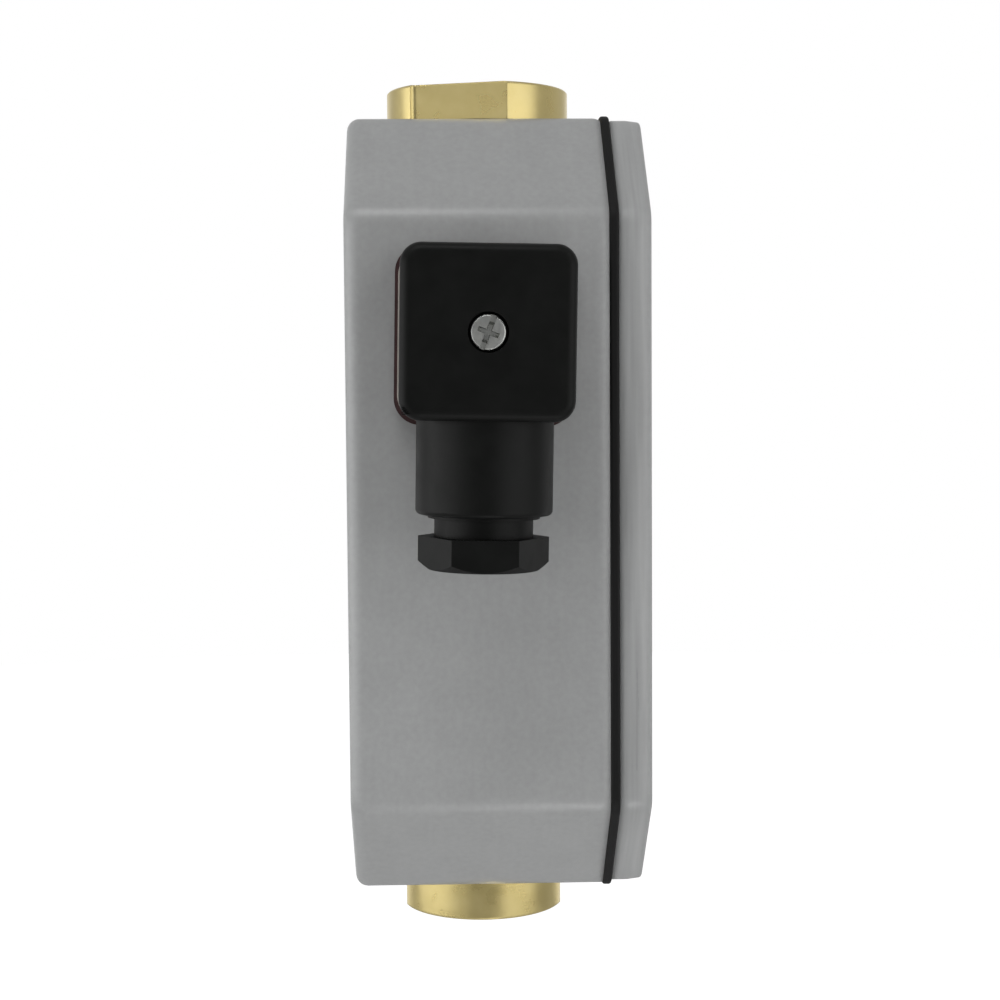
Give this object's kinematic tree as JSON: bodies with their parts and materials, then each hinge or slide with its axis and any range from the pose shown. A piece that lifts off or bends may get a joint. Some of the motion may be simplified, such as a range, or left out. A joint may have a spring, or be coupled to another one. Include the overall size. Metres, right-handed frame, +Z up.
{
  "type": "inline flow alarm",
  "caption": "Inline flow alarm: brass pipe body with sprung piston, magnetic follower and adjustable switch in a painted die-cast box, square cable plug on its side.",
  "frame": {"origin": "centre of the inlet port's end face, on the pipe axis", "axes": "+Z up along the pipe axis from inlet to outlet, -Y out of the lid with the window, -X out of the side that carries the plug"},
  "size_m": [0.1083, 0.0537, 0.157],
  "materials": {
    "grey_paint": "satin grey powder coat on die-cast aluminium",
    "brass": "turned, lightly brushed",
    "black_plastic": "moulded glass-filled polyamide",
    "base_plastic": "moulded dark red-brown thermoset",
    "insert_plastic": "moulded grey polyamide",
    "black_rubber": "moulded nitrile rubber",
    "grey_rubber": "moulded light silicone rubber",
    "zinc_steel": "zinc-plated steel",
    "stainless": "stainless steel, brushed",
    "spring_steel": "polished spring wire",
    "magnet": "pressed ferrite magnet",
    "white_acetal": "machined white acetal",
    "pane": "clear float glass",
    "scale_paint": "matt white paint on aluminium",
    "red_paint": "matt red paint",
    "black_paint": "matt black paint",
    "lead_sheath": "flexible cable sheath"
  },
  "bodies": {
    "root": {"housing_base": "grey_paint", "lid_gasket": "black_rubber", "flow_body": "brass", "body_washer": "zinc_steel", "body_circlip": "spring_steel", "inlet_seal": "black_rubber", "outlet_seal": "black_rubber", "inlet_spider": "brass", "outlet_spider": "brass", "snap_rings": "spring_steel", "metering_cone": "stainless", "return_spring": "spring_steel", "chassis_plate": "stainless", "chassis_screws": "zinc_steel", "rod_blocks": "white_acetal", "block_screws": "zinc_steel", "guide_rods": "stainless", "scale_plate": "scale_paint", "scale_standoffs": "zinc_steel", "scale_screws": "zinc_steel", "base_gasket": "black_rubber", "connector_base": "base_plastic", "base_screws": "zinc_steel", "contact_blades": "brass", "switch_leads": "lead_sheath"},
    "lid": {"lid": "grey_paint", "lid_screws": "zinc_steel", "window_gasket": "black_rubber", "window_pane": "pane", "window_retainer": "zinc_steel", "retainer_screws": "zinc_steel"},
    "plug": {"plug_housing": "black_plastic", "plug_insert": "insert_plastic", "plug_terminals": "brass", "terminal_screws": "zinc_steel", "plug_gasket": "grey_rubber", "gland_seal": "black_rubber", "gland_washer": "zinc_steel"},
    "gland_nut": {"gland_nut": "black_plastic"},
    "plug_screw": {"plug_screw": "zinc_steel"},
    "piston": {"piston": "brass", "orifice_disc": "stainless", "piston_magnet": "magnet", "spring_seat": "stainless"},
    "follower": {"follower_carrier": "white_acetal", "follower_magnet": "magnet", "follower_cam": "stainless", "flow_pointer": "red_paint"},
    "switch_carriage": {"switch_carriage": "zinc_steel", "carriage_lock_screw": "zinc_steel", "carriage_nut": "zinc_steel", "setpoint_pointer": "black_paint", "microswitch_body": "black_plastic", "switch_terminals": "brass", "switch_screws": "zinc_steel", "lever_pin": "stainless"},
    "switch_lever": {"switch_lever": "stainless", "roller_pin": "stainless"},
    "lever_roller": {"lever_roller": "white_acetal"},
    "switch_plunger": {"switch_plunger": "base_plastic"}
  },
  "joints": [
    {"name": "lid_pull_off", "type": "slide", "parent": "root", "child": "lid", "axis": [0, -1, 0], "range_m": [0, 0.03]},
    {"name": "plug_pull_off", "type": "slide", "parent": "root", "child": "plug", "axis": [-1, 0, 0], "range_m": [0, 0.03]},
    {"name": "gland_nut_turn", "type": "hinge", "parent": "plug", "child": "gland_nut", "pos_m": [-0.057, 0.00071, 0.07606], "axis": [0, 0.0209, -0.9998], "range_deg": [0, 1080]},
    {"name": "plug_screw_turn", "type": "hinge", "parent": "plug", "child": "plug_screw", "pos_m": [-0.0704, 0, 0.10975], "axis": [-1, 0, 0], "range_deg": [0, 1440]},
    {"name": "piston_lift", "type": "slide", "parent": "root", "child": "piston", "axis": [0, 0, 1], "range_m": [0, 0.04], "stiffness_N_per_m": 60, "springref_m": -0.015, "deforming": ["return_spring"]},
    {"name": "follower_lift", "type": "slide", "parent": "root", "child": "follower", "axis": [0, 0, 1], "range_m": [0, 0.04]},
    {"name": "switch_setting", "type": "slide", "parent": "root", "child": "switch_carriage", "axis": [0, 0, 1], "range_m": [-0.01, 0.01], "deforming": ["switch_leads"]},
    {"name": "lever_press", "type": "hinge", "parent": "switch_carriage", "child": "switch_lever", "pos_m": [0.01785, -0.01875, 0.057], "axis": [0, 1, 0], "range_deg": [0, 3.5], "stiffness_Nm_per_rad": 0.002, "springref_deg": -85.94},
    {"name": "roller_spin", "type": "hinge", "parent": "switch_lever", "child": "lever_roller", "pos_m": [0.015, -0.01875, 0.075], "axis": [0, 1, 0], "continuous": true},
    {"name": "plunger_press", "type": "slide", "parent": "switch_carriage", "child": "switch_plunger", "axis": [1, 0, 0], "range_m": [0, 0.00045]}
  ],
  "couplings": [
    {"joint": "follower_lift", "follows": "piston_lift", "ratio": 1},
    {"joint": "plunger_press", "follows": "lever_press", "m_per_rad": 0.007}
  ]
}
